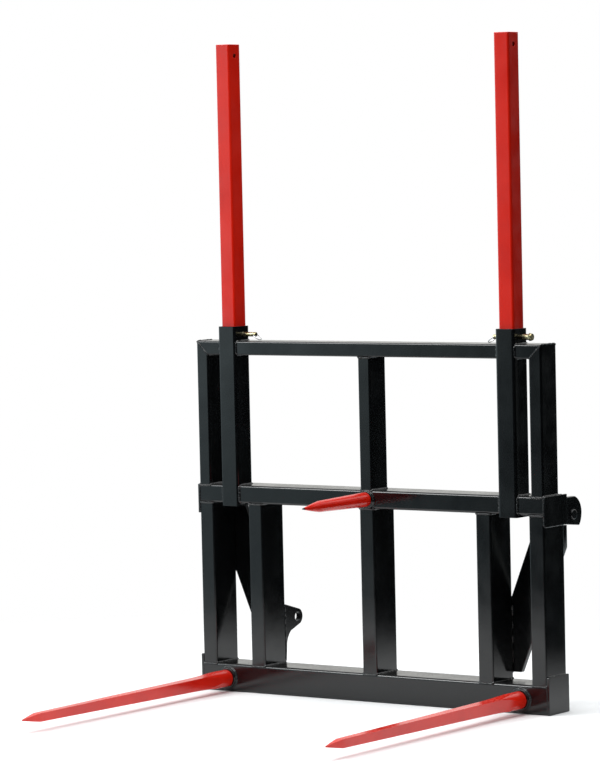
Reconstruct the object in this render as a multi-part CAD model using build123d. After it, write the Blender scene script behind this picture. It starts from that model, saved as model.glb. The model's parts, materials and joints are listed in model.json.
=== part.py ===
from build123d import *

import math
import os

# Bale fork for a tractor's front loader: a welded box-section frame that
# carries two long tines, a short centre spike and two pinned guard posts.
# Origin: centre of the bottom rail's underside. -Y is the way the tines point,
# +Z is up, and +X is on the right hand of someone who stands in front of the
# tines and faces the frame. Millimetres.

os.makedirs("parts", exist_ok=True)

# ---- bottom rail and its end plates
FRAME_W = 1452.0
RAIL_X = FRAME_W / 2
RAIL_D = 130.0
RAIL_H = 100.0
RAIL_WALL = 8.0
RAIL_CORNER = 9.0
FRONT = -RAIL_D / 2
FOOT_PLATE_H = 130.0
FOOT_PLATE_T = 10.0

# ---- lower uprights
UPRIGHT_W = 60.0
UPRIGHT_D = 130.0
UPRIGHT_WALL = 5.0
UPRIGHT_CORNER = 6.0
INNER_X = 482.0
OUTER_X = 696.0
UPRIGHT_REAR = UPRIGHT_D / 2

# ---- middle rail
MID_Z = 680.0
MID_H = 65.0
MID_D = 118.0
MID_WALL = 6.0
MID_CORNER = 8.0
MID_TOP = MID_Z + MID_H
MID_REAR = FRONT + MID_D
MID_PLATE_Z = 641.0
MID_PLATE_D = 140.0
MID_PLATE_T = 8.0

# ---- upper frame
TOP_Z = 1261.0
TOP_H = 50.0
UPPER_W = 50.0
UPPER_D = 100.0
UPPER_WALL = 4.0
UPPER_CORNER = 6.0
UPPER_X = FRAME_W / 2 - UPPER_W / 2
UPPER_Y = FRONT + UPPER_D / 2

# ---- post sleeves
SLEEVE_W = 75.0
SLEEVE_D = 88.0
SLEEVE_WALL = 6.0
SLEEVE_CORNER = 9.0
SLEEVE_X = 586.0
SLEEVE_Y = -28.0
SLEEVE_Z0 = 670.0
SLEEVE_Z1 = 1313.0

# ---- guard posts, which stand against the rear wall of their sleeves
POST_W = 60.0
POST_D = 68.0
POST_WALL = 4.0
POST_CORNER = 7.0
POST_Y = SLEEVE_Y + 3.0
POST_TOP = 2317.0
POST_LEN = 1220.0
POST_Z0 = POST_TOP - POST_LEN
CAP_T = 4.0
CAP_EDGE = 1.2

# ---- locking pins, each with a ring through its tip
PIN_R = 8.0
PIN_HOLE_R = 8.5
PIN_Z = 1284.0
PIN_COLLAR_R = 10.5
PIN_COLLAR_L = 24.0
PIN_HEAD_AF = 24.0
PIN_HEAD_T = 12.0
PIN_LEN = 157.0
PIN_OUT_LEFT = 20.0
PIN_OUT_RIGHT = 46.0
POST_HOLE_Z = POST_TOP - 41.0
RING_R = 16.0
RING_WIRE_R = 1.5
RING_HOLE_R = 3.0
RING_FROM_TIP = 8.0
RING_LEAN = 52.0
RING_RISE = 1.1

# ---- tines and their sockets
TINE_X = 620.0
TINE_Z = 48.0
SOCKET_R = 38.0
SOCKET_PROUD = 10.0
TINE_ROOT_R = 31.0
TINE_CONE_L = 175.0
TINE_SHOULDER = 44.0
TINE_NECK = 29.0
TINE_POINT_L = 75.0
TINE_TIP = 4.0
TINE_LEN = 1157.0
SHANK_R0 = 26.0
SHANK_R1 = 17.0
STUD_R = 15.0
TINE_NUT_AF = 46.0
TINE_NUT_T = 26.0
TINE_WASHER_R = 33.0
TINE_WASHER_T = 5.0

# ---- centre spike
SPIKE_Z = MID_Z + MID_H / 2
SPIKE_SOCKET_R = 30.0
SPIKE_PROUD = 8.0
SPIKE_ROOT_R = 26.0
SPIKE_NECK_R = 19.5
SPIKE_LEN = 386.0
SPIKE_POINT_L = 100.0
SPIKE_TIP_R = 2.0
SPIKE_SHANK_R0 = 20.0
SPIKE_SHANK_R1 = 14.0
SPIKE_STUD_R = 12.0
SPIKE_NUT_AF = 36.0
SPIKE_NUT_T = 20.0
SPIKE_WASHER_R = 26.0
SPIKE_WASHER_T = 4.0

# ---- hitch brackets behind the frame
HITCH_T = 20.0
CHEEK_X1 = RAIL_X
CHEEK_X0 = CHEEK_X1 - HITCH_T
HITCH_PIN_R = 18.0
HITCH_PIN_Y = 126.0
HITCH_PIN_Z = 670.0
HITCH_PIN_REACH = 70.0
HITCH_PIN_PROUD = 7.0
HITCH_SPIGOT_R = 15.0
EAR_X0 = INNER_X - UPRIGHT_W / 2
EAR_X1 = EAR_X0 + HITCH_T
EAR_HOLE_R = 18.0
EAR_HOLE_Y = 142.0
EAR_HOLE_Z = 256.0
EAR_END_R = 29.0

GAP = 0.3
MIN_INNER_CORNER = 2.0
SIDES = (("left", -1), ("right", 1))


def save(name, part):
    export_step(part, os.path.join("parts", name + ".step"))


def mirrored(part, side):
    return part if side > 0 else mirror(part, about=Plane.YZ)


def along(plane, width, height, wall, corner, length):
    """A rectangular tube drawn on a plane and pushed out along its normal."""
    inner_corner = max(corner - wall, MIN_INNER_CORNER)
    ring = plane * RectangleRounded(width, height, corner)
    hole = plane * RectangleRounded(width - 2 * wall, height - 2 * wall, inner_corner)
    return extrude(ring - hole, length)


def tube_z(x, y, z0, z1, width, depth, wall, corner):
    plane = Plane((x, y, z0), x_dir=(1, 0, 0), z_dir=(0, 0, 1))
    return along(plane, width, depth, wall, corner, z1 - z0)


def tube_x(y, z, half, depth, height, wall, corner):
    plane = Plane((-half, y, z), x_dir=(0, 1, 0), z_dir=(1, 0, 0))
    return along(plane, depth, height, wall, corner, 2 * half)


def box(x0, x1, y0, y1, z0, z1):
    size = Box(x1 - x0, y1 - y0, z1 - z0)
    return Pos((x0 + x1) / 2, (y0 + y1) / 2, (z0 + z1) / 2) * size


def rod(start, direction, radius, length):
    return extrude(Plane(start, z_dir=direction) * Circle(radius), length)


def hexagon(start, direction, across_flats, length):
    face = RegularPolygon(across_flats / 2, 6, major_radius=False)
    return extrude(Plane(start, z_dir=direction) * face, length)


def cone_y(x, z, y0, r0, y1, r1):
    """A round taper running along Y, with its radius at each end."""
    profile = Plane.XY * make_face(Polyline((0, y0), (r0, y0), (r1, y1), (0, y1), close=True))
    return Pos(x, 0, z) * revolve(profile, Axis.Y, 360)


def plate_yz(x0, x1, face):
    """A face drawn in (Y, Z) and given its thickness along X."""
    plane = Plane((x0, 0, 0), x_dir=(0, 1, 0), z_dir=(1, 0, 0))
    return extrude(plane * face, x1 - x0)


def plate_xz(y0, y1, face):
    """A face drawn in (X, Z) and given its thickness along Y."""
    plane = Plane((0, y1, 0), x_dir=(1, 0, 0), z_dir=(0, -1, 0))
    return extrude(plane * face, y1 - y0)


def outline(*points):
    return make_face(Polyline(*points, close=True))


# ---- bottom rail: one box section, holed for the two tine sockets
bottom_rail = tube_x(0, RAIL_H / 2, RAIL_X, RAIL_D, RAIL_H, RAIL_WALL, RAIL_CORNER)
for _, side in SIDES:
    start = (side * TINE_X, FRONT - 20, TINE_Z)
    bottom_rail -= rod(start, (0, 1, 0), SOCKET_R + GAP, RAIL_D + 40)
save("bottom_rail", bottom_rail)

for name, side in SIDES:
    plate = box(RAIL_X, RAIL_X + FOOT_PLATE_T, FRONT, -FRONT, 0, FOOT_PLATE_H)
    plate = fillet(plate.edges().filter_by(Axis.X), 4)
    save("foot_plate_" + name, mirrored(plate, side))

# ---- five lower uprights
uprights = (
    ("lower_upright_left_outer", -OUTER_X),
    ("lower_upright_left_inner", -INNER_X),
    ("lower_upright_centre", 0),
    ("lower_upright_right_inner", INNER_X),
    ("lower_upright_right_outer", OUTER_X),
)
for name, x in uprights:
    upright = tube_z(x, 0, RAIL_H, MID_Z, UPRIGHT_W, UPRIGHT_D, UPRIGHT_WALL, UPRIGHT_CORNER)
    save(name, upright)

# ---- middle rail: notched in front for the post sleeves, holed for the spike
mid_y = FRONT + MID_D / 2
mid_rail = tube_x(mid_y, MID_Z + MID_H / 2, RAIL_X, MID_D, MID_H, MID_WALL, MID_CORNER)
sleeve_rear = SLEEVE_Y + SLEEVE_D / 2
for _, side in SIDES:
    x0 = side * SLEEVE_X - SLEEVE_W / 2
    mid_rail -= box(x0, x0 + SLEEVE_W, FRONT - 30, sleeve_rear, MID_Z - 10, MID_TOP + 10)
mid_rail -= rod((0, FRONT - 20, SPIKE_Z), (0, 1, 0), SPIKE_SOCKET_R + GAP, MID_D + 40)
save("mid_rail", mid_rail)

for name, side in SIDES:
    rear = FRONT + MID_PLATE_D
    plate = box(RAIL_X, RAIL_X + MID_PLATE_T, FRONT, rear, MID_PLATE_Z, MID_TOP)
    plate = fillet(plate.edges().filter_by(Axis.X), 3)
    save("mid_end_plate_" + name, mirrored(plate, side))

# ---- upper frame: a top rail mitred onto the two outer uprights
half = FRAME_W / 2
top_rail = tube_x(UPPER_Y, TOP_Z - TOP_H / 2, half, UPPER_D, TOP_H, UPPER_WALL, UPPER_CORNER)
inner_x = half - UPPER_W
corner = outline((half, TOP_Z), (inner_x, TOP_Z - TOP_H), (half + 50, TOP_Z - TOP_H))
for _, side in SIDES:
    top_rail -= mirrored(plate_xz(FRONT - 5, FRONT + UPPER_D + 5, corner), side)
    x0 = side * SLEEVE_X - SLEEVE_W / 2
    top_rail -= box(x0, x0 + SLEEVE_W, FRONT - 30, sleeve_rear, TOP_Z - 80, TOP_Z + 20)
save("top_rail", top_rail)

keep = outline(
    (half + 5, MID_TOP),
    (half + 5, TOP_Z + TOP_H / UPPER_W * 5),
    (inner_x, TOP_Z - TOP_H),
    (inner_x - 5, TOP_Z - TOP_H),
    (inner_x - 5, MID_TOP),
)
for name, side in SIDES:
    upright = tube_z(
        UPPER_X, UPPER_Y, MID_TOP, TOP_Z, UPPER_W, UPPER_D, UPPER_WALL, UPPER_CORNER
    )
    upright = upright & plate_xz(FRONT - 5, FRONT + UPPER_D + 5, keep)
    save("upper_upright_" + name, mirrored(upright, side))
upper_end = TOP_Z - TOP_H
centre = tube_z(0, UPPER_Y, MID_TOP, upper_end, UPPER_W, UPPER_D, UPPER_WALL, UPPER_CORNER)
save("upper_upright_centre", centre)

# ---- sleeves, posts and post caps, all pierced for the locking pins
for name, side in SIDES:
    x = side * SLEEVE_X
    sleeve = tube_z(
        x, SLEEVE_Y, SLEEVE_Z0, SLEEVE_Z1, SLEEVE_W, SLEEVE_D, SLEEVE_WALL, SLEEVE_CORNER
    )
    sleeve -= rod((x - SLEEVE_W, POST_Y, PIN_Z), (1, 0, 0), PIN_HOLE_R, 2 * SLEEVE_W)
    save("sleeve_" + name, sleeve)

    post = tube_z(x, POST_Y, POST_Z0, POST_TOP - CAP_T, POST_W, POST_D, POST_WALL, POST_CORNER)
    for z in (PIN_Z, POST_HOLE_Z):
        post -= rod((x - POST_W, POST_Y, z), (1, 0, 0), PIN_HOLE_R, 2 * POST_W)
    save("post_" + name, post)

    face = RectangleRounded(POST_W, POST_D, POST_CORNER)
    cap = extrude(Plane((x, POST_Y, POST_TOP - CAP_T)) * face, CAP_T)
    cap = chamfer(cap.faces().sort_by(Axis.Z)[-1].edges(), CAP_EDGE)
    save("post_cap_" + name, cap)

# ---- locking pins: hex head and collar outboard, cross hole near the tip
for (name, side), out in zip(SIDES, (PIN_OUT_LEFT, PIN_OUT_RIGHT)):
    end = SLEEVE_X + SLEEVE_W / 2 + out
    head = hexagon((end, POST_Y, PIN_Z), (-1, 0, 0), PIN_HEAD_AF, PIN_HEAD_T)
    dome = cone_y(0, 0, 0, PIN_HEAD_AF / 2 + 3, PIN_HEAD_T + 3, PIN_HEAD_AF / 2 - 1)
    dome = Pos(end - PIN_HEAD_T - 1.5, POST_Y, PIN_Z) * (Rot(0, 0, -90) * dome)
    head = head & dome
    collar = rod((end - PIN_HEAD_T, POST_Y, PIN_Z), (-1, 0, 0), PIN_COLLAR_R, PIN_COLLAR_L)
    shank = rod((end - PIN_HEAD_T, POST_Y, PIN_Z), (-1, 0, 0), PIN_R, PIN_LEN - PIN_HEAD_T)
    shank = chamfer(shank.faces().sort_by(Axis.X)[0].edges(), 2)
    if out < PIN_HEAD_T + PIN_COLLAR_L:
        collar = rod((end - PIN_HEAD_T, POST_Y, PIN_Z), (-1, 0, 0), PIN_COLLAR_R, out - PIN_HEAD_T - 1)
    pin = head + collar + shank
    hole_x = end - PIN_LEN + RING_FROM_TIP
    pin -= rod((hole_x, POST_Y - 20, PIN_Z), (0, 1, 0), RING_HOLE_R, 40)
    save("pin_" + name, mirrored(pin, side))

    ring = Torus(RING_R, RING_WIRE_R)
    ring = Pos(0, 0, RING_RISE - RING_R) * (Rot(0, 90, 0) * ring)
    ring = Pos(hole_x, POST_Y, PIN_Z) * (Rot(0, RING_LEAN, 0) * ring)
    save("pin_ring_" + name, mirrored(ring, side))

# ---- tine sockets: tapered bushes let through the bottom rail
socket_front = FRONT - SOCKET_PROUD
socket_rear = -FRONT
for name, side in SIDES:
    socket = rod((TINE_X, socket_front, TINE_Z), (0, 1, 0), SOCKET_R, socket_rear - socket_front)
    socket = chamfer(socket.faces().sort_by(Axis.Y)[0].edges(), 2)
    bore = cone_y(
        TINE_X, TINE_Z, socket_front - 1, SHANK_R0 + GAP, socket_rear + 1, SHANK_R1 + GAP
    )
    save("tine_socket_" + name, mirrored(socket - bore, side))

# ---- long tines: round root, square blade tapering to a point
tine_parts = []
root_y = socket_front
shoulder_y = FRONT - TINE_CONE_L
tip_y = FRONT - TINE_LEN
neck_y = tip_y + TINE_POINT_L


def section(y, size, corner):
    plane = Plane((TINE_X, y, TINE_Z), x_dir=(1, 0, 0), z_dir=(0, -1, 0))
    return plane * RectangleRounded(size, size, corner)


flange = cone_y(TINE_X, TINE_Z, root_y - GAP, TINE_ROOT_R, root_y - 22, TINE_ROOT_R)
cone = loft([
    section(root_y - 22, 2 * TINE_ROOT_R, TINE_ROOT_R * 0.97),
    section(shoulder_y, TINE_SHOULDER, 12.0),
])
blade = loft([section(shoulder_y, TINE_SHOULDER, 12.0), section(neck_y, TINE_NECK, 5.0)])
point = loft([section(neck_y, TINE_NECK, 5.0), section(tip_y, TINE_TIP, 1.2)])
shank = cone_y(TINE_X, TINE_Z, root_y - GAP, SHANK_R0, socket_rear, SHANK_R1)
stud = rod((TINE_X, socket_rear, TINE_Z), (0, 1, 0), STUD_R, TINE_WASHER_T + TINE_NUT_T + 8)
stud = chamfer(stud.faces().sort_by(Axis.Y)[-1].edges(), 2)
tine = flange + cone + blade + point + shank + stud
for name, side in SIDES:
    save("tine_" + name, mirrored(tine, side))

# ---- tine fasteners, behind the bottom rail
washer = rod((TINE_X, socket_rear, TINE_Z), (0, 1, 0), TINE_WASHER_R, TINE_WASHER_T)
washer -= rod((TINE_X, socket_rear - 5, TINE_Z), (0, 1, 0), STUD_R + GAP, 30)
nut = hexagon((TINE_X, socket_rear + TINE_WASHER_T, TINE_Z), (0, 1, 0), TINE_NUT_AF, TINE_NUT_T)
nut -= rod((TINE_X, socket_rear - 5, TINE_Z), (0, 1, 0), STUD_R + GAP, 60)
save("tine_washers", Compound([washer, mirror(washer, about=Plane.YZ)]))
save("tine_nuts", Compound([nut, mirror(nut, about=Plane.YZ)]))

# ---- centre spike, its socket and its fastener on the middle rail
spike_front = FRONT - SPIKE_PROUD
socket = rod((0, spike_front, SPIKE_Z), (0, 1, 0), SPIKE_SOCKET_R, MID_REAR - spike_front)
socket = chamfer(socket.faces().sort_by(Axis.Y)[0].edges(), 2)
bore = cone_y(
    0, SPIKE_Z, spike_front - 1, SPIKE_SHANK_R0 + GAP, MID_REAR + 1, SPIKE_SHANK_R1 + GAP
)
save("spike_socket", socket - bore)

spike_tip = FRONT - SPIKE_LEN
spike_neck = spike_tip + SPIKE_POINT_L
spike = cone_y(0, SPIKE_Z, spike_front - GAP, SPIKE_ROOT_R, spike_neck, SPIKE_NECK_R)
spike += cone_y(0, SPIKE_Z, spike_neck, SPIKE_NECK_R, spike_tip, SPIKE_TIP_R)
spike += cone_y(0, SPIKE_Z, spike_front - GAP, SPIKE_SHANK_R0, MID_REAR, SPIKE_SHANK_R1)
spike += rod((0, MID_REAR, SPIKE_Z), (0, 1, 0), SPIKE_STUD_R, SPIKE_WASHER_T + SPIKE_NUT_T + 6)
save("centre_spike", spike)

washer = rod((0, MID_REAR, SPIKE_Z), (0, 1, 0), SPIKE_WASHER_R, SPIKE_WASHER_T)
washer -= rod((0, MID_REAR - 5, SPIKE_Z), (0, 1, 0), SPIKE_STUD_R + GAP, 30)
save("spike_washer", washer)
nut = hexagon((0, MID_REAR + SPIKE_WASHER_T, SPIKE_Z), (0, 1, 0), SPIKE_NUT_AF, SPIKE_NUT_T)
nut -= rod((0, MID_REAR - 5, SPIKE_Z), (0, 1, 0), SPIKE_STUD_R + GAP, 60)
save("spike_nut", nut)

# ---- hitch cheeks with their pins, at the ends of the middle rail
back = 184.0
cheek_face = make_face([
    Line((UPRIGHT_REAR, 640), (UPRIGHT_REAR, MID_Z)),
    Line((UPRIGHT_REAR, MID_Z), (MID_REAR, MID_Z)),
    Line((MID_REAR, MID_Z), (MID_REAR, 732)),
    Line((MID_REAR, 732), (142, 731)),
    ThreePointArc((142, 731), (173, 709), (back, 669)),
    ThreePointArc((back, 669), (180, 650), (168, 629)),
    Line((168, 629), (UPRIGHT_REAR, 640)),
])
for name, side in SIDES:
    cheek = plate_yz(CHEEK_X0, CHEEK_X1, cheek_face)
    hole = rod((CHEEK_X0 - 5, HITCH_PIN_Y, HITCH_PIN_Z), (1, 0, 0), HITCH_SPIGOT_R + GAP, 60)
    save("hitch_cheek_" + name, mirrored(cheek - hole, side))

    start = (CHEEK_X0 - HITCH_PIN_REACH, HITCH_PIN_Y, HITCH_PIN_Z)
    journal = rod(start, (1, 0, 0), HITCH_PIN_R, HITCH_PIN_REACH)
    journal = chamfer(journal.faces().sort_by(Axis.X)[0].edges(), 3)
    spigot = rod((CHEEK_X0, HITCH_PIN_Y, HITCH_PIN_Z), (1, 0, 0), HITCH_SPIGOT_R, HITCH_T)
    button = rod((CHEEK_X1, HITCH_PIN_Y, HITCH_PIN_Z), (1, 0, 0), HITCH_PIN_R, HITCH_PIN_PROUD)
    button = chamfer(button.faces().sort_by(Axis.X)[-1].edges(), 3)
    save("hitch_pin_" + name, mirrored(journal + spigot + button, side))

# ---- slanting gusset plates across the back of each pair of uprights
gusset_face = outline(
    (FRAME_W / 2, 637),
    (FRAME_W / 2, 561),
    (544, 122),
    (EAR_X1, 122),
    (EAR_X1, 290),
    (629, MID_Z),
    (CHEEK_X0, MID_Z),
    (CHEEK_X0, 637),
)
for name, side in SIDES:
    gusset = plate_xz(UPRIGHT_REAR, UPRIGHT_REAR + HITCH_T, gusset_face)
    save("gusset_" + name, mirrored(gusset, side))

# ---- lower hitch ears, each with a hole for the loader's lock pin
lean = math.radians(14)
top_y = EAR_HOLE_Y + EAR_END_R * math.sin(lean)
top_z = EAR_HOLE_Z + EAR_END_R * math.cos(lean)
low = math.radians(-62)
low_y = EAR_HOLE_Y + EAR_END_R * math.cos(low)
low_z = EAR_HOLE_Z + EAR_END_R * math.sin(low)
ear_face = make_face([
    Line((UPRIGHT_REAR, 104), (UPRIGHT_REAR, 308)),
    Line((UPRIGHT_REAR, 308), (top_y, top_z)),
    ThreePointArc(
        (top_y, top_z), (EAR_HOLE_Y + EAR_END_R, EAR_HOLE_Z), (low_y, low_z)
    ),
    Line((low_y, low_z), (99, 210)),
    ThreePointArc((99, 210), (80, 188), (72, 153)),
    Line((72, 153), (68, 104)),
    Line((68, 104), (UPRIGHT_REAR, 104)),
])
for name, side in SIDES:
    ear = plate_yz(EAR_X0, EAR_X1, ear_face)
    ear -= rod((EAR_X0 - 5, EAR_HOLE_Y, EAR_HOLE_Z), (1, 0, 0), EAR_HOLE_R, 40)
    save("hitch_ear_" + name, mirrored(ear, side))
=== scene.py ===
import json
import math
import random

import bmesh
import bpy
from mathutils import Matrix, Vector, noise

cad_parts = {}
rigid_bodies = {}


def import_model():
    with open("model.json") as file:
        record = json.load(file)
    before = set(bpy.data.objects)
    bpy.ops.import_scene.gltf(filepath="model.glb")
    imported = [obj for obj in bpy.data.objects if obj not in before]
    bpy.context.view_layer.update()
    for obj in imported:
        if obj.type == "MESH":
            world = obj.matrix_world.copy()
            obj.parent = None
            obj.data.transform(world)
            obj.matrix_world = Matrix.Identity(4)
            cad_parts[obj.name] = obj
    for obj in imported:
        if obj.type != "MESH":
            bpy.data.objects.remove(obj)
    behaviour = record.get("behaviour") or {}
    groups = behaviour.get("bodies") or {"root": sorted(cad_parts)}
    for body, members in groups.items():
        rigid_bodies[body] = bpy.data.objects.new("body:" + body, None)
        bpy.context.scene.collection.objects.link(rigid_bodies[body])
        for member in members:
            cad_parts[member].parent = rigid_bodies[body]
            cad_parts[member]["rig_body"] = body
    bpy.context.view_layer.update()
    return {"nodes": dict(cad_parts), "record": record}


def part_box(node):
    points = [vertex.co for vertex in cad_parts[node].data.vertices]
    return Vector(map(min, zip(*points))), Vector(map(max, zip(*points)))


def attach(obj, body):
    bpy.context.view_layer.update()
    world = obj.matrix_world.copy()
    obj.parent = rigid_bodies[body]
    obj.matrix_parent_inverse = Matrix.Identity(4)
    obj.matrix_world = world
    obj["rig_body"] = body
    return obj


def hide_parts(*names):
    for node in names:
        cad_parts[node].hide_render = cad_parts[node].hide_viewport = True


# Looks for the bale fork: enamel, plating, weld beads, forged tines and softened plate edges,
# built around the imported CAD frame. Metres, +Z up, the tines point along -Y.

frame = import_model()

MM = 0.001
SIDES = (("left", -1), ("right", 1))

# ---- camera, at the angle the object is seen from in the reference
VIEW_AZIMUTH = 35.42
VIEW_ELEVATION = 3.37
VIEW_ROLL = -1.26
VIEW_DISTANCE = 13.143
VIEW_AIM = Vector((0.0, -0.065, 1.1108))
VIEW_SIDESTEP = -0.2168
LENS = 175.39
SENSOR_HEIGHT = 36.0
SHIFT_X = -0.0021


# ---------------------------------------------------------------- shader nodes
def add_node(tree, kind, inputs=None, **settings):
    """One node. inputs maps a socket's name or number to a value, or to the socket it is fed from."""
    made = tree.nodes.new(kind)
    for key, value in settings.items():
        setattr(made, key, value)
    for key, value in (inputs or {}).items():
        if isinstance(value, bpy.types.NodeSocket):
            tree.links.new(value, made.inputs[key])
        else:
            made.inputs[key].default_value = value
    return made


def noise_field(tree, coords, scale, detail=2.0, roughness=0.5):
    inputs = {"Vector": coords, "Scale": scale, "Detail": detail, "Roughness": roughness}
    return add_node(tree, "ShaderNodeTexNoise", inputs).outputs["Fac"]


def ramp(tree, value, low, high, out_low=0.0, out_high=1.0, smooth=True):
    inputs = {0: value, 1: low, 2: high, 3: out_low, 4: out_high}
    kind = "SMOOTHSTEP" if smooth else "LINEAR"
    return add_node(tree, "ShaderNodeMapRange", inputs, interpolation_type=kind).outputs[0]


def math_node(tree, operation, first, second=0.0, third=0.0):
    inputs = {0: first, 1: second, 2: third}
    return add_node(tree, "ShaderNodeMath", inputs, operation=operation).outputs[0]


def mix_colour(tree, factor, first, second):
    """A colour mix. The node's colour sockets are inputs 6 and 7 and output 2."""
    inputs = {0: factor, 6: first, 7: second}
    return add_node(tree, "ShaderNodeMix", inputs, data_type="RGBA").outputs[2]


def grey(level):
    return (level, level, level, 1.0)


def new_material(name):
    material = bpy.data.materials.new(name)
    material.use_nodes = True
    tree = material.node_tree
    tree.nodes.clear()
    shader = tree.nodes.new("ShaderNodeBsdfPrincipled")
    output = tree.nodes.new("ShaderNodeOutputMaterial")
    tree.links.new(shader.outputs[0], output.inputs["Surface"])
    coords = tree.nodes.new("ShaderNodeTexCoord").outputs["Object"]
    return material, tree, shader, coords


def edge_mask(tree, radius, low, high):
    """1 along sharp outer edges and 0 on flats, from how far a rounded normal leans from the true one."""
    rounded = add_node(tree, "ShaderNodeBevel", {"Radius": radius}, samples=4).outputs[0]
    true_normal = tree.nodes.new("ShaderNodeNewGeometry").outputs["Normal"]
    product = add_node(tree, "ShaderNodeVectorMath", {0: rounded, 1: true_normal}, operation="DOT_PRODUCT")
    return ramp(tree, product.outputs["Value"], low, high, 1.0, 0.0)


def upward_mask(tree):
    """1 on surfaces that face up, where dust settles."""
    normal = tree.nodes.new("ShaderNodeNewGeometry").outputs["Normal"]
    split = add_node(tree, "ShaderNodeSeparateXYZ", {0: normal})
    return ramp(tree, split.outputs["Z"], 0.6, 0.98)


def orange_peel(tree, coords, fine_scale, fine_height, wave_scale, wave_height):
    """Sprayed enamel: a fine orange-peel texture over slow waves in the tube walls."""
    fine = noise_field(tree, coords, fine_scale, 1.0)
    wave = noise_field(tree, coords, wave_scale, 2.0)
    slow = add_node(tree, "ShaderNodeBump", {"Strength": 1.0, "Distance": wave_height, "Height": wave})
    inputs = {"Strength": 1.0, "Distance": fine_height, "Height": fine, "Normal": slow.outputs[0]}
    return add_node(tree, "ShaderNodeBump", inputs).outputs[0]


# ---------------------------------------------------------------- materials
def enamel(name, deep, pale, worn, dust, gloss, peel_height):
    """Gloss enamel with cloudy colour, dust on top, rubbed edges and an orange-peel surface."""
    material, tree, shader, coords = new_material(name)
    cloud = noise_field(tree, coords, 5.0, 4.0)
    colour = mix_colour(tree, ramp(tree, cloud, 0.3, 0.7), deep, pale)

    speck = noise_field(tree, coords, 90.0, 3.0)
    settled = math_node(tree, "MULTIPLY", upward_mask(tree), ramp(tree, speck, 0.35, 0.75, 0.1, 0.45))
    colour = mix_colour(tree, settled, colour, dust)

    patchy = ramp(tree, noise_field(tree, coords, 38.0, 5.0), 0.46, 0.64)
    rubbed = math_node(tree, "MULTIPLY", edge_mask(tree, 0.0022, 0.80, 0.97), patchy)
    rubbed = math_node(tree, "MULTIPLY", rubbed, 0.55)
    colour = mix_colour(tree, rubbed, colour, worn)

    smear = ramp(tree, noise_field(tree, coords, 11.0, 3.0), 0.3, 0.7, gloss[0], gloss[1])
    dulled = math_node(tree, "MULTIPLY_ADD", rubbed, 0.25, smear)
    rough = math_node(tree, "MULTIPLY_ADD", settled, 0.3, dulled)

    tree.links.new(colour, shader.inputs["Base Color"])
    tree.links.new(rough, shader.inputs["Roughness"])
    tree.links.new(orange_peel(tree, coords, 210.0, peel_height, 6.0, 0.0006), shader.inputs["Normal"])
    shader.inputs["IOR"].default_value = 1.5
    return material, tree, shader, coords


def black_enamel():
    return enamel(
        "black_enamel",
        deep=(0.0020, 0.0024, 0.0028, 1.0),
        pale=(0.0040, 0.0046, 0.0050, 1.0),
        worn=(0.035, 0.037, 0.038, 1.0),
        dust=(0.040, 0.039, 0.036, 1.0),
        gloss=(0.10, 0.17),
        peel_height=0.00003,
    )[0]


def red_enamel():
    """Red gloss enamel that is worn through to bare steel where a mesh's bare attribute says so."""
    material, tree, shader, coords = enamel(
        "red_enamel",
        deep=(0.58, 0.010, 0.003, 1.0),
        pale=(0.68, 0.015, 0.005, 1.0),
        worn=(0.36, 0.035, 0.022, 1.0),
        dust=(0.50, 0.060, 0.045, 1.0),
        gloss=(0.12, 0.22),
        peel_height=0.00003,
    )
    painted = shader.inputs["Base Color"].links[0].from_socket
    bare = add_node(tree, "ShaderNodeAttribute", attribute_name="bare").outputs["Fac"]
    ragged = math_node(tree, "MULTIPLY_ADD", noise_field(tree, coords, 160.0, 4.0), 0.6, bare)
    through = ramp(tree, ragged, 0.72, 0.86)
    steel = mix_colour(tree, noise_field(tree, coords, 300.0, 3.0), grey(0.045), grey(0.12))
    tree.links.new(mix_colour(tree, through, painted, steel), shader.inputs["Base Color"])
    tree.links.new(math_node(tree, "MULTIPLY", through, 0.8), shader.inputs["Metallic"])
    return material


def weld_paint():
    """The same black enamel lying over weld beads, glossier and lumpier."""
    material, tree, shader, coords = new_material("weld_enamel")
    cloud = noise_field(tree, coords, 70.0, 4.0)
    colour = mix_colour(tree, cloud, (0.003, 0.0034, 0.0038, 1.0), (0.010, 0.0105, 0.011, 1.0))
    tree.links.new(colour, shader.inputs["Base Color"])
    rough = ramp(tree, noise_field(tree, coords, 120.0, 3.0), 0.3, 0.7, 0.06, 0.2)
    tree.links.new(rough, shader.inputs["Roughness"])
    tree.links.new(orange_peel(tree, coords, 420.0, 0.0002, 90.0, 0.0012), shader.inputs["Normal"])
    return material


def plated(name, low, high, tint, rough):
    """Zinc plating: cloudy colour with a faint rainbow tint, blotches of grime, and a fine bumpy surface.
    """
    material, tree, shader, coords = new_material(name)
    cloud = noise_field(tree, coords, 60.0, 4.0)
    colour = mix_colour(tree, ramp(tree, cloud, 0.35, 0.65), low, high)
    film = ramp(tree, noise_field(tree, coords, 24.0, 2.0), 0.5, 0.8, 0.0, 0.7)
    colour = mix_colour(tree, film, colour, tint)
    grime = ramp(tree, noise_field(tree, coords, 150.0, 5.0), 0.58, 0.78, 0.0, 0.6)
    colour = mix_colour(tree, grime, colour, (0.10, 0.085, 0.06, 1.0))
    tree.links.new(colour, shader.inputs["Base Color"])
    shader.inputs["Metallic"].default_value = 1.0
    tree.links.new(ramp(tree, cloud, 0.3, 0.7, rough[0], rough[1]), shader.inputs["Roughness"])
    tree.links.new(orange_peel(tree, coords, 700.0, 0.00004, 60.0, 0.0001), shader.inputs["Normal"])
    return material


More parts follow.
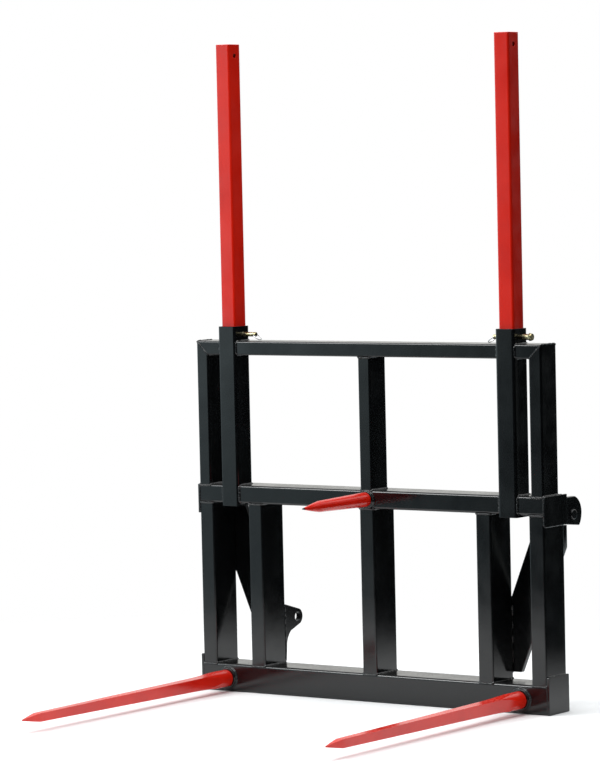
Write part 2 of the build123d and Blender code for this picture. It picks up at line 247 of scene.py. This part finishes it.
BLACK = black_enamel()
RED = red_enamel()
WELD = weld_paint()
YELLOW_ZINC = plated(
    "yellow_zinc_plating",
    (0.34, 0.29, 0.15, 1.0),
    (0.58, 0.53, 0.34, 1.0),
    (0.44, 0.45, 0.30, 1.0),
    (0.22, 0.38),
)
BRIGHT_ZINC = plated(
    "bright_zinc_plating",
    (0.48, 0.49, 0.50, 1.0),
    (0.72, 0.73, 0.74, 1.0),
    (0.60, 0.62, 0.68, 1.0),
    (0.25, 0.42),
)
FINISH = {"black_paint": BLACK, "red_paint": RED, "yellow_zinc": YELLOW_ZINC, "zinc_steel": BRIGHT_ZINC}


def slot_of(node_name):
    """The record's material slot of a CAD node."""
    for entry in frame["record"]["subparts"]:
        if entry["node"] == node_name:
            return entry["material_slot"]
    raise ValueError("the record has no material slot for " + node_name)


for node_name, cad_object in frame["nodes"].items():
    cad_object.data.materials.clear()
    cad_object.data.materials.append(FINISH[slot_of(node_name)])


# ---------------------------------------------------------------- pieces
def add_piece(name, mesh, material, body, slot, *replaced):
    piece = bpy.data.objects.new(name, mesh)
    bpy.context.scene.collection.objects.link(piece)
    if material is not None:
        mesh.materials.append(material)
    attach(piece, body)
    if replaced:
        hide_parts(*replaced)
    return piece


def shade(mesh, sharp_degrees):
    mesh.shade_smooth()
    mesh.set_sharp_from_angle(angle=math.radians(sharp_degrees))


def softened(node_name, width, segments=3):
    """A copy of a CAD node's mesh with its sharp edges rounded, standing for the node."""
    work = bmesh.new()
    work.from_mesh(frame["nodes"][node_name].data)
    bmesh.ops.remove_doubles(work, verts=work.verts, dist=1e-6)
    flat = math.radians(0.4)
    bmesh.ops.dissolve_limit(work, angle_limit=flat, verts=work.verts, edges=work.edges)
    limit = math.radians(32)
    sharp = [e for e in work.edges if len(e.link_faces) == 2 and e.calc_face_angle() > limit]
    bmesh.ops.bevel(
        work,
        geom=sharp,
        offset=width,
        segments=segments,
        profile=0.5,
        affect="EDGES",
        clamp_overlap=True,
    )
    mesh = bpy.data.meshes.new(node_name + "_soft")
    work.to_mesh(mesh)
    work.free()
    shade(mesh, 40)
    slot = slot_of(node_name)
    body = frame["nodes"][node_name]["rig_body"]
    piece = add_piece(node_name + "_soft", mesh, FINISH[slot], body, slot, node_name)
    weighted = piece.modifiers.new("weighted_normals", "WEIGHTED_NORMAL")
    weighted.keep_sharp = True
    return piece


for side_name, _ in SIDES:
    softened("foot_plate_" + side_name, 1.6 * MM)
    softened("mid_end_plate_" + side_name, 1.4 * MM)
    softened("gusset_" + side_name, 2.0 * MM)
    softened("hitch_cheek_" + side_name, 3.0 * MM)
    softened("hitch_ear_" + side_name, 2.2 * MM)
    softened("hitch_pin_" + side_name, 1.2 * MM)
    softened("sleeve_" + side_name, 1.2 * MM)
    softened("post_" + side_name, 0.8 * MM)
    softened("post_cap_" + side_name, 0.6 * MM)
    softened("pin_" + side_name, 0.7 * MM)
    softened("tine_socket_" + side_name, 0.8 * MM)
softened("tine_nuts", 1.2 * MM)
softened("spike_nut", 1.0 * MM)
softened("tine_washers", 0.8 * MM)
softened("spike_washer", 0.6 * MM)
softened("spike_socket", 0.8 * MM)


# ---------------------------------------------------------------- lofted bars
def loft(name, rings):
    """A closed skin over a list of rings with the same number of points each."""
    count = len(rings[0])
    points = [p for ring in rings for p in ring]
    faces = [tuple(range(count))[::-1]]
    for k in range(len(rings) - 1):
        base = k * count
        for i in range(count):
            j = (i + 1) % count
            faces.append((base + i, base + j, base + count + j, base + count + i))
    last = (len(rings) - 1) * count
    faces.append(tuple(range(last, last + count)))
    mesh = bpy.data.meshes.new(name)
    mesh.from_pydata(points, [], faces)
    mesh.validate()
    work = bmesh.new()
    work.from_mesh(mesh)
    bmesh.ops.remove_doubles(work, verts=work.verts, dist=2e-6)
    bmesh.ops.recalc_face_normals(work, faces=work.faces)
    work.to_mesh(mesh)
    work.free()
    return mesh


def clipped_circle(radius, half_width, flat_steps=6, arc_steps=6):
    """A circle cut by the four sides of a square, as (x, z) points: a forged bar's section."""
    share = min(1.0, half_width / radius)
    edge = max(math.acos(share), math.radians(1.0))
    points = []
    for quarter in range(4):
        middle = quarter * math.pi / 2
        for i in range(flat_steps):
            angle = -edge + 2 * edge * i / flat_steps
            reach = min(radius, half_width / math.cos(angle))
            points.append((reach * math.cos(middle + angle), reach * math.sin(middle + angle)))
        for i in range(arc_steps):
            angle = middle + edge + (math.pi / 2 - 2 * edge) * i / arc_steps
            points.append((radius * math.cos(angle), radius * math.sin(angle)))
    return points


def thread_radius(radius, depth, pitch, along, angle):
    """A 60 degree thread's outline at one place."""
    turn = (along / pitch - angle / (2 * math.pi)) % 1.0
    return radius - depth * abs(2 * turn - 1)


def stud_rings(centre, y0, y1, radius, pitch, count):
    """Rings of a threaded stud from y1 back to y0, with its end turned down."""
    rings = []
    steps = int((y1 - y0) / (pitch / 6))
    for k in range(steps + 1):
        y = y1 + (y0 - y1) * k / steps
        lead = min(1.0, (y1 - y) / (1.5 * pitch) + 0.15)
        ring = []
        for i in range(count):
            angle = 2 * math.pi * i / count
            r = thread_radius(radius, 0.54 * pitch * lead, pitch, y, angle) - (1 - lead) * 0.8 * MM
            ring.append(centre + Vector((r * math.cos(angle), y, r * math.sin(angle))))
        rings.append(ring)
    return rings


def bar_rings(centre, stations):
    """Rings for stations of (y, radius, half width), from the root to the tip."""
    rings = []
    for y, radius, half_width in stations:
        outline = clipped_circle(radius, half_width)
        rings.append([centre + Vector((x, y, z)) for x, z in outline])
    return rings


RING_POINTS = len(clipped_circle(1.0, 1.0))


def paint_bare(mesh, fade):
    """Stores how bare the steel is at each point, from a function of the point."""
    attribute = mesh.attributes.new("bare", "FLOAT", "POINT")
    for index, vertex in enumerate(mesh.vertices):
        attribute.data[index].value = fade(vertex.co)


def worn_tip(tip_y, at_tip, length):
    """How bare a bar's steel is at a point: at_tip at its tip, less by 1 for each length back."""
    return lambda point: max(0.0, at_tip - (point.y - tip_y) / length)


def finish_bar(name, rings, stud_y, replaced, fade, sharp_degrees):
    """Skins a bar of the frame, plates its stud and paints the rest."""
    mesh = loft(name, rings)
    shade(mesh, sharp_degrees)
    mesh.materials.append(RED)
    mesh.materials.append(BRIGHT_ZINC)
    for face in mesh.polygons:
        face.material_index = 1 if face.center.y > stud_y else 0
    paint_bare(mesh, fade)
    return add_piece(name, mesh, None, "frame", "red_paint", replaced)


def tine_stations(root_y, tip_y):
    """(y, radius, half width) along a tine: round root, flats forged on, square blade, point."""
    round_end = root_y - 34 * MM
    shoulder = root_y - 168 * MM
    neck = tip_y + 78 * MM
    root_r = 31.0 * MM
    root_half, shoulder_half, neck_half, tip_half = (v * MM for v in (31.0, 21.8, 14.6, 2.2))
    stations = [(root_y, root_r - 1.5 * MM, root_half), (root_y - 1.5 * MM, root_r, root_half)]
    forge_steps = 22
    for k in range(forge_steps + 1):
        t = k / forge_steps
        y = round_end + (shoulder - round_end) * t
        eased = t * t * (3 - 2 * t)
        half_width = root_half + (shoulder_half - root_half) * (0.45 * t + 0.55 * eased)
        stations.append((y, root_r, half_width))
    blade_steps = 26
    for k in range(1, blade_steps + 1):
        t = k / blade_steps
        y = shoulder + (neck - shoulder) * t
        half_width = shoulder_half + (neck_half - shoulder_half) * t
        stations.append((y, min(root_r, half_width * 1.38), half_width))
    point_steps = 10
    for k in range(1, point_steps + 1):
        t = k / point_steps
        y = neck + (tip_y - neck) * t
        half_width = neck_half + (tip_half - neck_half) * t ** 1.08
        stations.append((y, half_width * 1.36, half_width))
    return stations


for side_name, _ in SIDES:
    low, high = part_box("tine_" + side_name)
    socket_low, socket_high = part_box("tine_socket_" + side_name)
    middle = (socket_low + socket_high) / 2
    centre = Vector((middle.x, 0.0, middle.z))
    root_y = socket_low.y - 0.3 * MM
    rings = stud_rings(centre, socket_high.y, high.y, 15.0 * MM, 2.0 * MM, RING_POINTS)
    rings += bar_rings(centre, [(socket_high.y - 1 * MM, 17 * MM, 1), (root_y, 25.8 * MM, 1)])
    rings += bar_rings(centre, tine_stations(root_y, low.y))
    fade = worn_tip(low.y, 0.42, 26 * MM)
    stud_y = socket_high.y - 2 * MM
    finish_bar("forged_tine_" + side_name, rings, stud_y, "tine_" + side_name, fade, 14)


def spike_stations(root_y, tip_y):
    """(y, radius, half width) along the round centre spike."""
    root_r, neck_r, tip_r = (v * MM for v in (26.0, 19.5, 1.6))
    neck = tip_y + 100 * MM
    stations = [(root_y, root_r - 2 * MM, 1), (root_y - 0.6 * MM, root_r - 0.6 * MM, 1)]
    taper_steps = 14
    for k in range(taper_steps + 1):
        t = k / taper_steps
        y = root_y - 2 * MM + (neck - root_y + 2 * MM) * t
        stations.append((y, root_r + (neck_r - root_r) * t, 1))
    point_steps = 16
    for k in range(1, point_steps + 1):
        t = k / point_steps
        bulge = 0.9 * MM * math.sin(math.pi * t)
        stations.append((neck + (tip_y - neck) * t, neck_r + (tip_r - neck_r) * t + bulge, 1))
    return stations


low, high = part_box("centre_spike")
socket_low, socket_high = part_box("spike_socket")
middle = (socket_low + socket_high) / 2
centre = Vector((middle.x, 0.0, middle.z))
root_y = socket_low.y - 0.3 * MM
rings = stud_rings(centre, socket_high.y, high.y, 12.0 * MM, 1.75 * MM, RING_POINTS)
rings += bar_rings(centre, [(socket_high.y - 1 * MM, 14 * MM, 1), (root_y, 19.8 * MM, 1)])
rings += bar_rings(centre, spike_stations(root_y, low.y))
fade = worn_tip(low.y, 1.25, 16 * MM)
finish_bar("turned_spike", rings, socket_high.y - 2 * MM, "centre_spike", fade, 12)


# ---------------------------------------------------------------- weld beads
class Beads:
    """Collects weld beads, each swept along a joint line, into one mesh."""

    def __init__(self, name, seed):
        self.name = name
        self.points = []
        self.faces = []
        self.random = random.Random(seed)

    def run(self, path, size, closed=False):
        """Lays one bead. path is a list of (point, outward direction); size is its half width."""
        step = 1.7 * MM
        pitch = self.random.uniform(5.0, 7.0) * MM
        phase = self.random.uniform(0, 100)
        stops = list(path) + ([path[0]] if closed else [])
        lengths = [(stops[i + 1][0] - stops[i][0]).length for i in range(len(stops) - 1)]
        total = sum(lengths)
        count = max(6, int(total / step))
        sides = 9
        base = len(self.points)
        rows = count if closed else count + 1
        for k in range(rows):
            s = total * k / count
            place, outward, tangent = self.locate(stops, lengths, s)
            across = tangent.cross(outward).normalized()
            outward = across.cross(tangent).normalized()
            lump = noise.noise(Vector((s / (11 * MM) + phase, phase, 0.0)))
            drift = noise.noise(Vector((s / (17 * MM), phase, 7.0)))
            ripple = abs(math.sin(math.pi * s / pitch + phase))
            swell = size * (0.94 + 0.42 * lump + 0.20 * ripple)
            if not closed:
                swell *= min(1.0, 0.45 + min(s, total - s) / (5 * MM))
            middle = place + across * drift * 0.9 * MM
            for i in range(sides):
                angle = 2 * math.pi * i / sides
                ring = across * math.cos(angle) * swell * 1.15 + outward * math.sin(angle) * swell * 0.8
                shift = tangent * math.cos(angle) * 0.07 * pitch
                self.points.append(middle + ring + shift)
        for k in range(count):
            here = base + k * sides
            after = base + ((k + 1) % rows) * sides
            for i in range(sides):
                j = (i + 1) % sides
                self.faces.append((here + i, here + j, after + j, after + i))
        if not closed:
            self.faces.append(tuple(base + i for i in reversed(range(sides))))
            self.faces.append(tuple(base + count * sides + i for i in range(sides)))

    @staticmethod
    def locate(stops, lengths, s):
        """The point, outward direction and tangent at a distance along the path."""
        k = 0
        while k < len(lengths) - 1 and s > lengths[k]:
            s -= lengths[k]
            k += 1
        t = min(1.0, s / lengths[k]) if lengths[k] > 0 else 0.0
        place = stops[k][0].lerp(stops[k + 1][0], t)
        outward = stops[k][1].lerp(stops[k + 1][1], t).normalized()
        tangent = (stops[k + 1][0] - stops[k][0]).normalized()
        return place, outward, tangent

    def build(self):
        mesh = bpy.data.meshes.new(self.name)
        mesh.from_pydata(self.points, [], self.faces)
        mesh.validate()
        mesh.shade_smooth()
        return add_piece(self.name, mesh, WELD, "frame", "black_paint")


def line(start, end, outward, steps=1):
    """A straight weld path between two points."""
    start, end, outward = Vector(start), Vector(end), Vector(outward)
    return [(start.lerp(end, i / steps), outward) for i in range(steps + 1)]


def footprint(low, high, z, corner, up, front_drop=0.0):
    """A closed path round an upright's foot or head, with rounded corners."""
    path = []
    centres = (
        (high.x - corner, high.y - corner, 0),
        (low.x + corner, high.y - corner, 90),
        (low.x + corner, low.y + corner, 180),
        (high.x - corner, low.y + corner, 270),
    )
    corner_steps = 4
    for x, y, start in centres:
        for i in range(corner_steps + 1):
            angle = math.radians(start + 90 * i / corner_steps)
            out = Vector((math.cos(angle), math.sin(angle), 0))
            drop = front_drop * max(0.0, -out.y) ** 2
            place = Vector((x, y, z - up * drop)) + out * corner
            path.append((place, out + Vector((0, 0, up))))
    return path


def circle_path(centre, radius, steps=48):
    """A closed weld path round a bar that comes out along -Y."""
    path = []
    for i in range(steps):
        angle = 2 * math.pi * i / steps
        out = Vector((math.cos(angle), 0, math.sin(angle)))
        path.append((centre + out * radius, out + Vector((0, -1, 0))))
    return path


rail_low, rail_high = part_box("bottom_rail")
mid_low, mid_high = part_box("mid_rail")
top_low, top_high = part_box("top_rail")
LOWER_UPRIGHTS = ("left_outer", "left_inner", "centre", "right_inner", "right_outer")

feet = Beads("weld_beads_bottom_rail", 11)
heads = Beads("weld_beads_middle_rail", 23)
for upright in LOWER_UPRIGHTS:
    low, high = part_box("lower_upright_" + upright)
    feet.run(footprint(low, high, low.z + 0.5 * MM, 6 * MM, 1, 4 * MM), 3.6 * MM, closed=True)
    heads.run(footprint(low, high, high.z - 0.5 * MM, 6 * MM, -1, -1 * MM), 3.8 * MM, closed=True)
    behind = mid_high.y + 4 * MM
    heads.run(line((low.x + 6 * MM, behind, high.z), (high.x - 6 * MM, behind, high.z), (0, 1, 1)), 6 * MM)

for side_name, side in SIDES:
    low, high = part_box("tine_socket_" + side_name)
    middle = (low + high) / 2
    radius = (high.x - low.x) / 2
    centre = Vector((middle.x, rail_low.y, middle.z))
    feet.run(circle_path(centre, radius + 1.5 * MM), 5.4 * MM, closed=True)

    low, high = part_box("foot_plate_" + side_name)
    inner = side * rail_high.x
    front, back = low.y + 10 * MM, high.y - 10 * MM
    feet.run(line((inner, front, high.z), (inner, back, high.z), (side, 0, 1)), 3.2 * MM)
    for y, out in ((low.y + 1 * MM, -1), (high.y - 1 * MM, 1)):
        feet.run(line((inner, y, 8 * MM), (inner, y, rail_high.z - 10 * MM), (0, out, 0)), 2.0 * MM)

    low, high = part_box("mid_end_plate_" + side_name)
    flush = side * rail_high.x
    front, back = low.y + 8 * MM, high.y - 14 * MM
    heads.run(line((flush, front, low.z), (flush, back, low.z), (side, 0, -1)), 3.0 * MM)
    heads.run(line((flush, low.y, low.z + 4 * MM), (flush, low.y, high.z - 8 * MM), (0, -1, 0)), 2.6 * MM)
    heads.run(line((flush, low.y + 10 * MM, high.z), (flush, mid_high.y, high.z), (0, 0, 1)), 2.6 * MM)

low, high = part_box("spike_socket")
middle = (low + high) / 2
radius = (high.x - low.x) / 2
centre = Vector((middle.x, mid_low.y, middle.z))
heads.run(circle_path(centre, radius + 1.0 * MM), 4.6 * MM, closed=True)


def sleeve_seam(beads, x, out, z0, z1, front, rear, size):
    """The seam where a rail runs into one side of a sleeve: under, up the front and over the top."""
    lean = Vector((out, 0, 0))
    path = [
        (Vector((x, rear, z0)), lean + Vector((0, 0, -1))),
        (Vector((x, front + 8 * MM, z0)), lean + Vector((0, -0.4, -1))),
        (Vector((x, front, z0 + 8 * MM)), lean + Vector((0, -1, -0.3))),
        (Vector((x, front, z1 - 8 * MM)), lean + Vector((0, -1, 0.3))),
        (Vector((x, front + 8 * MM, z1)), lean + Vector((0, -0.4, 1))),
        (Vector((x, rear, z1)), lean + Vector((0, 0, 1))),
    ]
    beads.run(path, size)


crown = Beads("weld_beads_top_rail", 37)
for side_name, side in SIDES:
    low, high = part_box("sleeve_" + side_name)
    for x, out in ((low.x, -1), (high.x, 1)):
        sleeve_seam(heads, x, out, mid_low.z, mid_high.z, mid_low.y, high.y, 4.4 * MM)
        sleeve_seam(crown, x, out, top_low.z, top_high.z, top_low.y, high.y, 3.8 * MM)
    for beads, rail in ((heads, mid_high), (crown, top_high)):
        beads.run(line((low.x, high.y, rail.z), (high.x, high.y, rail.z), (0, 1, 1)), 4.0 * MM)
    under = mid_low.z
    heads.run(line((low.x, high.y, under), (high.x, high.y, under), (0, 1, -1)), 4.0 * MM)

for place in ("left", "centre", "right"):
    low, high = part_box("upper_upright_" + place)
    heads.run(footprint(low, high, low.z + 0.5 * MM, 6 * MM, 1, 4 * MM), 4.0 * MM, closed=True)
low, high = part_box("upper_upright_centre")
crown.run(footprint(low, high, high.z - 0.5 * MM, 6 * MM, -1, -3 * MM), 3.6 * MM, closed=True)

upper_low, upper_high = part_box("upper_upright_right")
corner_in = upper_low.x
for _, side in SIDES:
    outer_x = side * (upper_high.x - 1 * MM)
    inner_x = side * corner_in
    for y, out in ((top_low.y, -1), (top_high.y, 1)):
        start = (outer_x, y, top_high.z - 2 * MM)
        crown.run(line(start, (inner_x, y, top_low.z), (0, out, 0)), 2.4 * MM)
    front, rear = top_low.y + 6 * MM, top_high.y - 6 * MM
    crown.run(line((outer_x, front, top_high.z), (outer_x, rear, top_high.z), (side, 0, 1)), 2.2 * MM)
    crown.run(line((inner_x, front, top_low.z), (inner_x, rear, top_low.z), (-side, 0, -1)), 3.6 * MM)

hitch = Beads("weld_beads_hitch", 53)
inner_low, inner_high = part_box("lower_upright_right_inner")
outer_low, outer_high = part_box("lower_upright_right_outer")
gusset_low, gusset_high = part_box("gusset_right")
ear_low, ear_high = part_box("hitch_ear_right")
cheek_low, cheek_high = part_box("hitch_cheek_right")
pin_low, pin_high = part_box("hitch_pin_right")
rear = outer_high.y

# heights of the hitch welds' ends, above the ground
STITCHES = ((150 * MM, 196 * MM), (222 * MM, 250 * MM), (272 * MM, 296 * MM), (318 * MM, 352 * MM))
SLANT_LOW = (420 * MM, 566 * MM)
SLANT_HIGH = (298 * MM, 384 * MM)
EAR_OUTER_SIDE = (126 * MM, 286 * MM)
EAR_INNER_SIDE = (108 * MM, 300 * MM)
CHEEK_UNDER_RAIL = (644 * MM, 676 * MM)
CHEEK_ON_RAIL = (684 * MM, 728 * MM)
# the gusset's inner welds start this far inboard of the ear's outboard face
gusset_weld_x = ear_high.x + 4 * MM


def upright_bead(x, y, heights, outward, size=4 * MM):
    """A weld that runs straight up between two heights."""
    hitch.run(line((x, y, heights[0]), (x, y, heights[1]), outward), size)


for _, side in SIDES:
    for heights in STITCHES:
        upright_bead(side * (inner_high.x + 0.5 * MM), rear, heights, (side, -1, 0), 4.2 * MM)

    top = (side * (outer_high.x - 2 * MM), rear, SLANT_LOW[1])
    foot = (side * outer_low.x, rear, SLANT_LOW[0])
    hitch.run(line(top, foot, (side, 1, -0.4)), 4 * MM)
    foot = (side * gusset_weld_x, rear, SLANT_HIGH[0])
    top = (side * inner_high.x, rear, SLANT_HIGH[1])
    hitch.run(line(foot, top, (-side, 1, 0.4)), 4 * MM)

    start = (side * (outer_low.x + 2 * MM), rear, gusset_high.z)
    hitch.run(line(start, (side * cheek_low.x, rear, gusset_high.z), (0, 1, 1)), 4 * MM)
    start = (side * gusset_weld_x, rear, gusset_low.z)
    hitch.run(line(start, (side * inner_high.x, rear, gusset_low.z), (0, 1, -1)), 4 * MM)

    upright_bead(side * ear_high.x, gusset_high.y, EAR_OUTER_SIDE, (side, 1, 0))
    upright_bead(side * (ear_low.x + 1 * MM), rear, EAR_INNER_SIDE, (-side, 1, 0), 2.4 * MM)

    face = side * cheek_low.x
    upright_bead(face, rear, CHEEK_UNDER_RAIL, (-side, 1, 0))
    upright_bead(face, mid_high.y, CHEEK_ON_RAIL, (-side, 1, 0))

    centre = Vector((face, (pin_low.y + pin_high.y) / 2, (pin_low.z + pin_high.z) / 2))
    ring = []
    ring_steps = 40
    for i in range(ring_steps):
        angle = 2 * math.pi * i / ring_steps
        out = Vector((0, math.cos(angle), math.sin(angle)))
        ring.append((centre + out * 18.5 * MM, out + Vector((-side, 0, 0))))
    hitch.run(ring, 3.4 * MM, closed=True)

for beads in (feet, heads, crown, hitch):
    beads.build()


# ---------------------------------------------------------------- floor, light and camera
def add_floor():
    """A pale floor that fades out into the backdrop."""
    radius = 9.0
    work = bmesh.new()
    bmesh.ops.create_circle(work, cap_ends=True, segments=96, radius=radius)
    mesh = bpy.data.meshes.new("studio_floor")
    work.to_mesh(mesh)
    work.free()
    floor = bpy.data.objects.new("studio_floor", mesh)
    floor.location = (0.0, 0.0, -0.0005)
    bpy.context.scene.collection.objects.link(floor)

    material = bpy.data.materials.new("studio_floor")
    material.use_nodes = True
    tree = material.node_tree
    tree.nodes.clear()
    coords = tree.nodes.new("ShaderNodeTexCoord").outputs["Object"]
    shifted = add_node(tree, "ShaderNodeVectorMath", {0: coords, 1: (0.35, 0.5, 0.0)}, operation="ADD")
    distance = add_node(tree, "ShaderNodeVectorMath", {0: shifted.outputs[0]}, operation="LENGTH")
    cover = ramp(tree, distance.outputs["Value"], 1.1, 3.0, 1.0, 0.0)
    speck = noise_field(tree, coords, 3.0, 3.0)
    colour = mix_colour(tree, speck, grey(0.80), grey(0.84))
    matt = add_node(tree, "ShaderNodeBsdfDiffuse", {"Color": colour})
    clear = tree.nodes.new("ShaderNodeBsdfTransparent")
    blend = add_node(tree, "ShaderNodeMixShader", {0: cover, 1: clear.outputs[0], 2: matt.outputs[0]})
    output = tree.nodes.new("ShaderNodeOutputMaterial")
    tree.links.new(blend.outputs[0], output.inputs["Surface"])
    mesh.materials.append(material)


def add_world():
    """White backdrop, and a soft studio that is bright to the front left and dim to the right."""
    world = bpy.data.worlds.new("studio")
    bpy.context.scene.world = world
    world.use_nodes = True
    tree = world.node_tree
    tree.nodes.clear()
    direction = tree.nodes.new("ShaderNodeTexCoord").outputs["Generated"]
    split = add_node(tree, "ShaderNodeSeparateXYZ", {0: direction})
    height = split.outputs["Z"]

    edge = math.radians(34.0)
    backward = 0.08
    sideways = (
        -math.cos(edge) - backward * math.sin(edge),
        math.sin(edge) - backward * math.cos(edge),
        0.0,
    )
    lean = add_node(tree, "ShaderNodeVectorMath", {0: direction, 1: sideways}, operation="DOT_PRODUCT")
    bright_side = ramp(tree, lean.outputs["Value"], 0.005, 0.14)

    upper = mix_colour(tree, bright_side, (0.012, 0.014, 0.016, 1.0), (1.10, 1.34, 1.40, 1.0))
    onward = (math.sin(edge), math.cos(edge), 0.0)
    reach = add_node(tree, "ShaderNodeVectorMath", {0: direction, 1: onward}, operation="DOT_PRODUCT")
    behind = math_node(tree, "MULTIPLY", bright_side, ramp(tree, reach.outputs["Value"], -0.2, 0.2))
    upper = mix_colour(tree, behind, upper, (0.86, 0.86, 0.83, 1.0))
    overhead = ramp(tree, height, 0.2, 0.85)
    upper = mix_colour(tree, overhead, upper, (1.05, 1.08, 1.1, 1.0))
    lower = mix_colour(tree, bright_side, grey(0.008), (0.46, 0.58, 0.62, 1.0))
    studio = mix_colour(tree, ramp(tree, height, -0.10, -0.02), lower, upper)

    seen = tree.nodes.new("ShaderNodeLightPath").outputs["Is Camera Ray"]
    colour = mix_colour(tree, seen, studio, grey(1.0))
    background = add_node(tree, "ShaderNodeBackground", {"Color": colour, "Strength": 1.0})
    output = tree.nodes.new("ShaderNodeOutputWorld")
    tree.links.new(background.outputs[0], output.inputs["Surface"])


def add_light(name, place, aim, size, power, colour=(1.0, 1.0, 1.0)):
    data = bpy.data.lights.new(name, "AREA")
    data.shape = "RECTANGLE"
    data.size, data.size_y = size
    data.energy = power
    data.color = colour
    light = bpy.data.objects.new(name, data)
    light.location = place
    light.rotation_euler = (Vector(aim) - Vector(place)).to_track_quat("-Z", "Y").to_euler()
    bpy.context.scene.collection.objects.link(light)


def add_camera():
    azimuth, elevation, roll = (math.radians(v) for v in (VIEW_AZIMUTH, VIEW_ELEVATION, VIEW_ROLL))
    back = Vector((
        math.sin(azimuth) * math.cos(elevation),
        -math.cos(azimuth) * math.cos(elevation),
        math.sin(elevation),
    ))
    right = Vector((math.cos(azimuth), math.sin(azimuth), 0.0))
    up = back.cross(right)
    tilted_right = right * math.cos(roll) + up * math.sin(roll)
    tilted_up = up * math.cos(roll) - right * math.sin(roll)
    place = VIEW_AIM + right * VIEW_SIDESTEP + back * VIEW_DISTANCE

    data = bpy.data.cameras.new("camera")
    data.sensor_fit = "VERTICAL"
    data.sensor_height = SENSOR_HEIGHT
    data.lens = LENS
    data.shift_x = SHIFT_X
    data.clip_end = 200.0
    camera = bpy.data.objects.new("camera", data)
    turn = Matrix((tilted_right, tilted_up, back)).transposed()
    camera.matrix_world = Matrix.Translation(place) @ turn.to_4x4()
    bpy.context.scene.collection.objects.link(camera)
    bpy.context.scene.camera = camera


add_floor()
add_world()
add_light("key_softbox", (-4.2, -5.2, 5.0), (0, 0, 0.8), (2.4, 2.4), 240)
add_light("top_softbox", (0.2, -0.6, 6.2), (0, -0.2, 0.5), (4.0, 4.0), 260)
add_camera()
bpy.context.scene.view_settings.view_transform = "Standard"
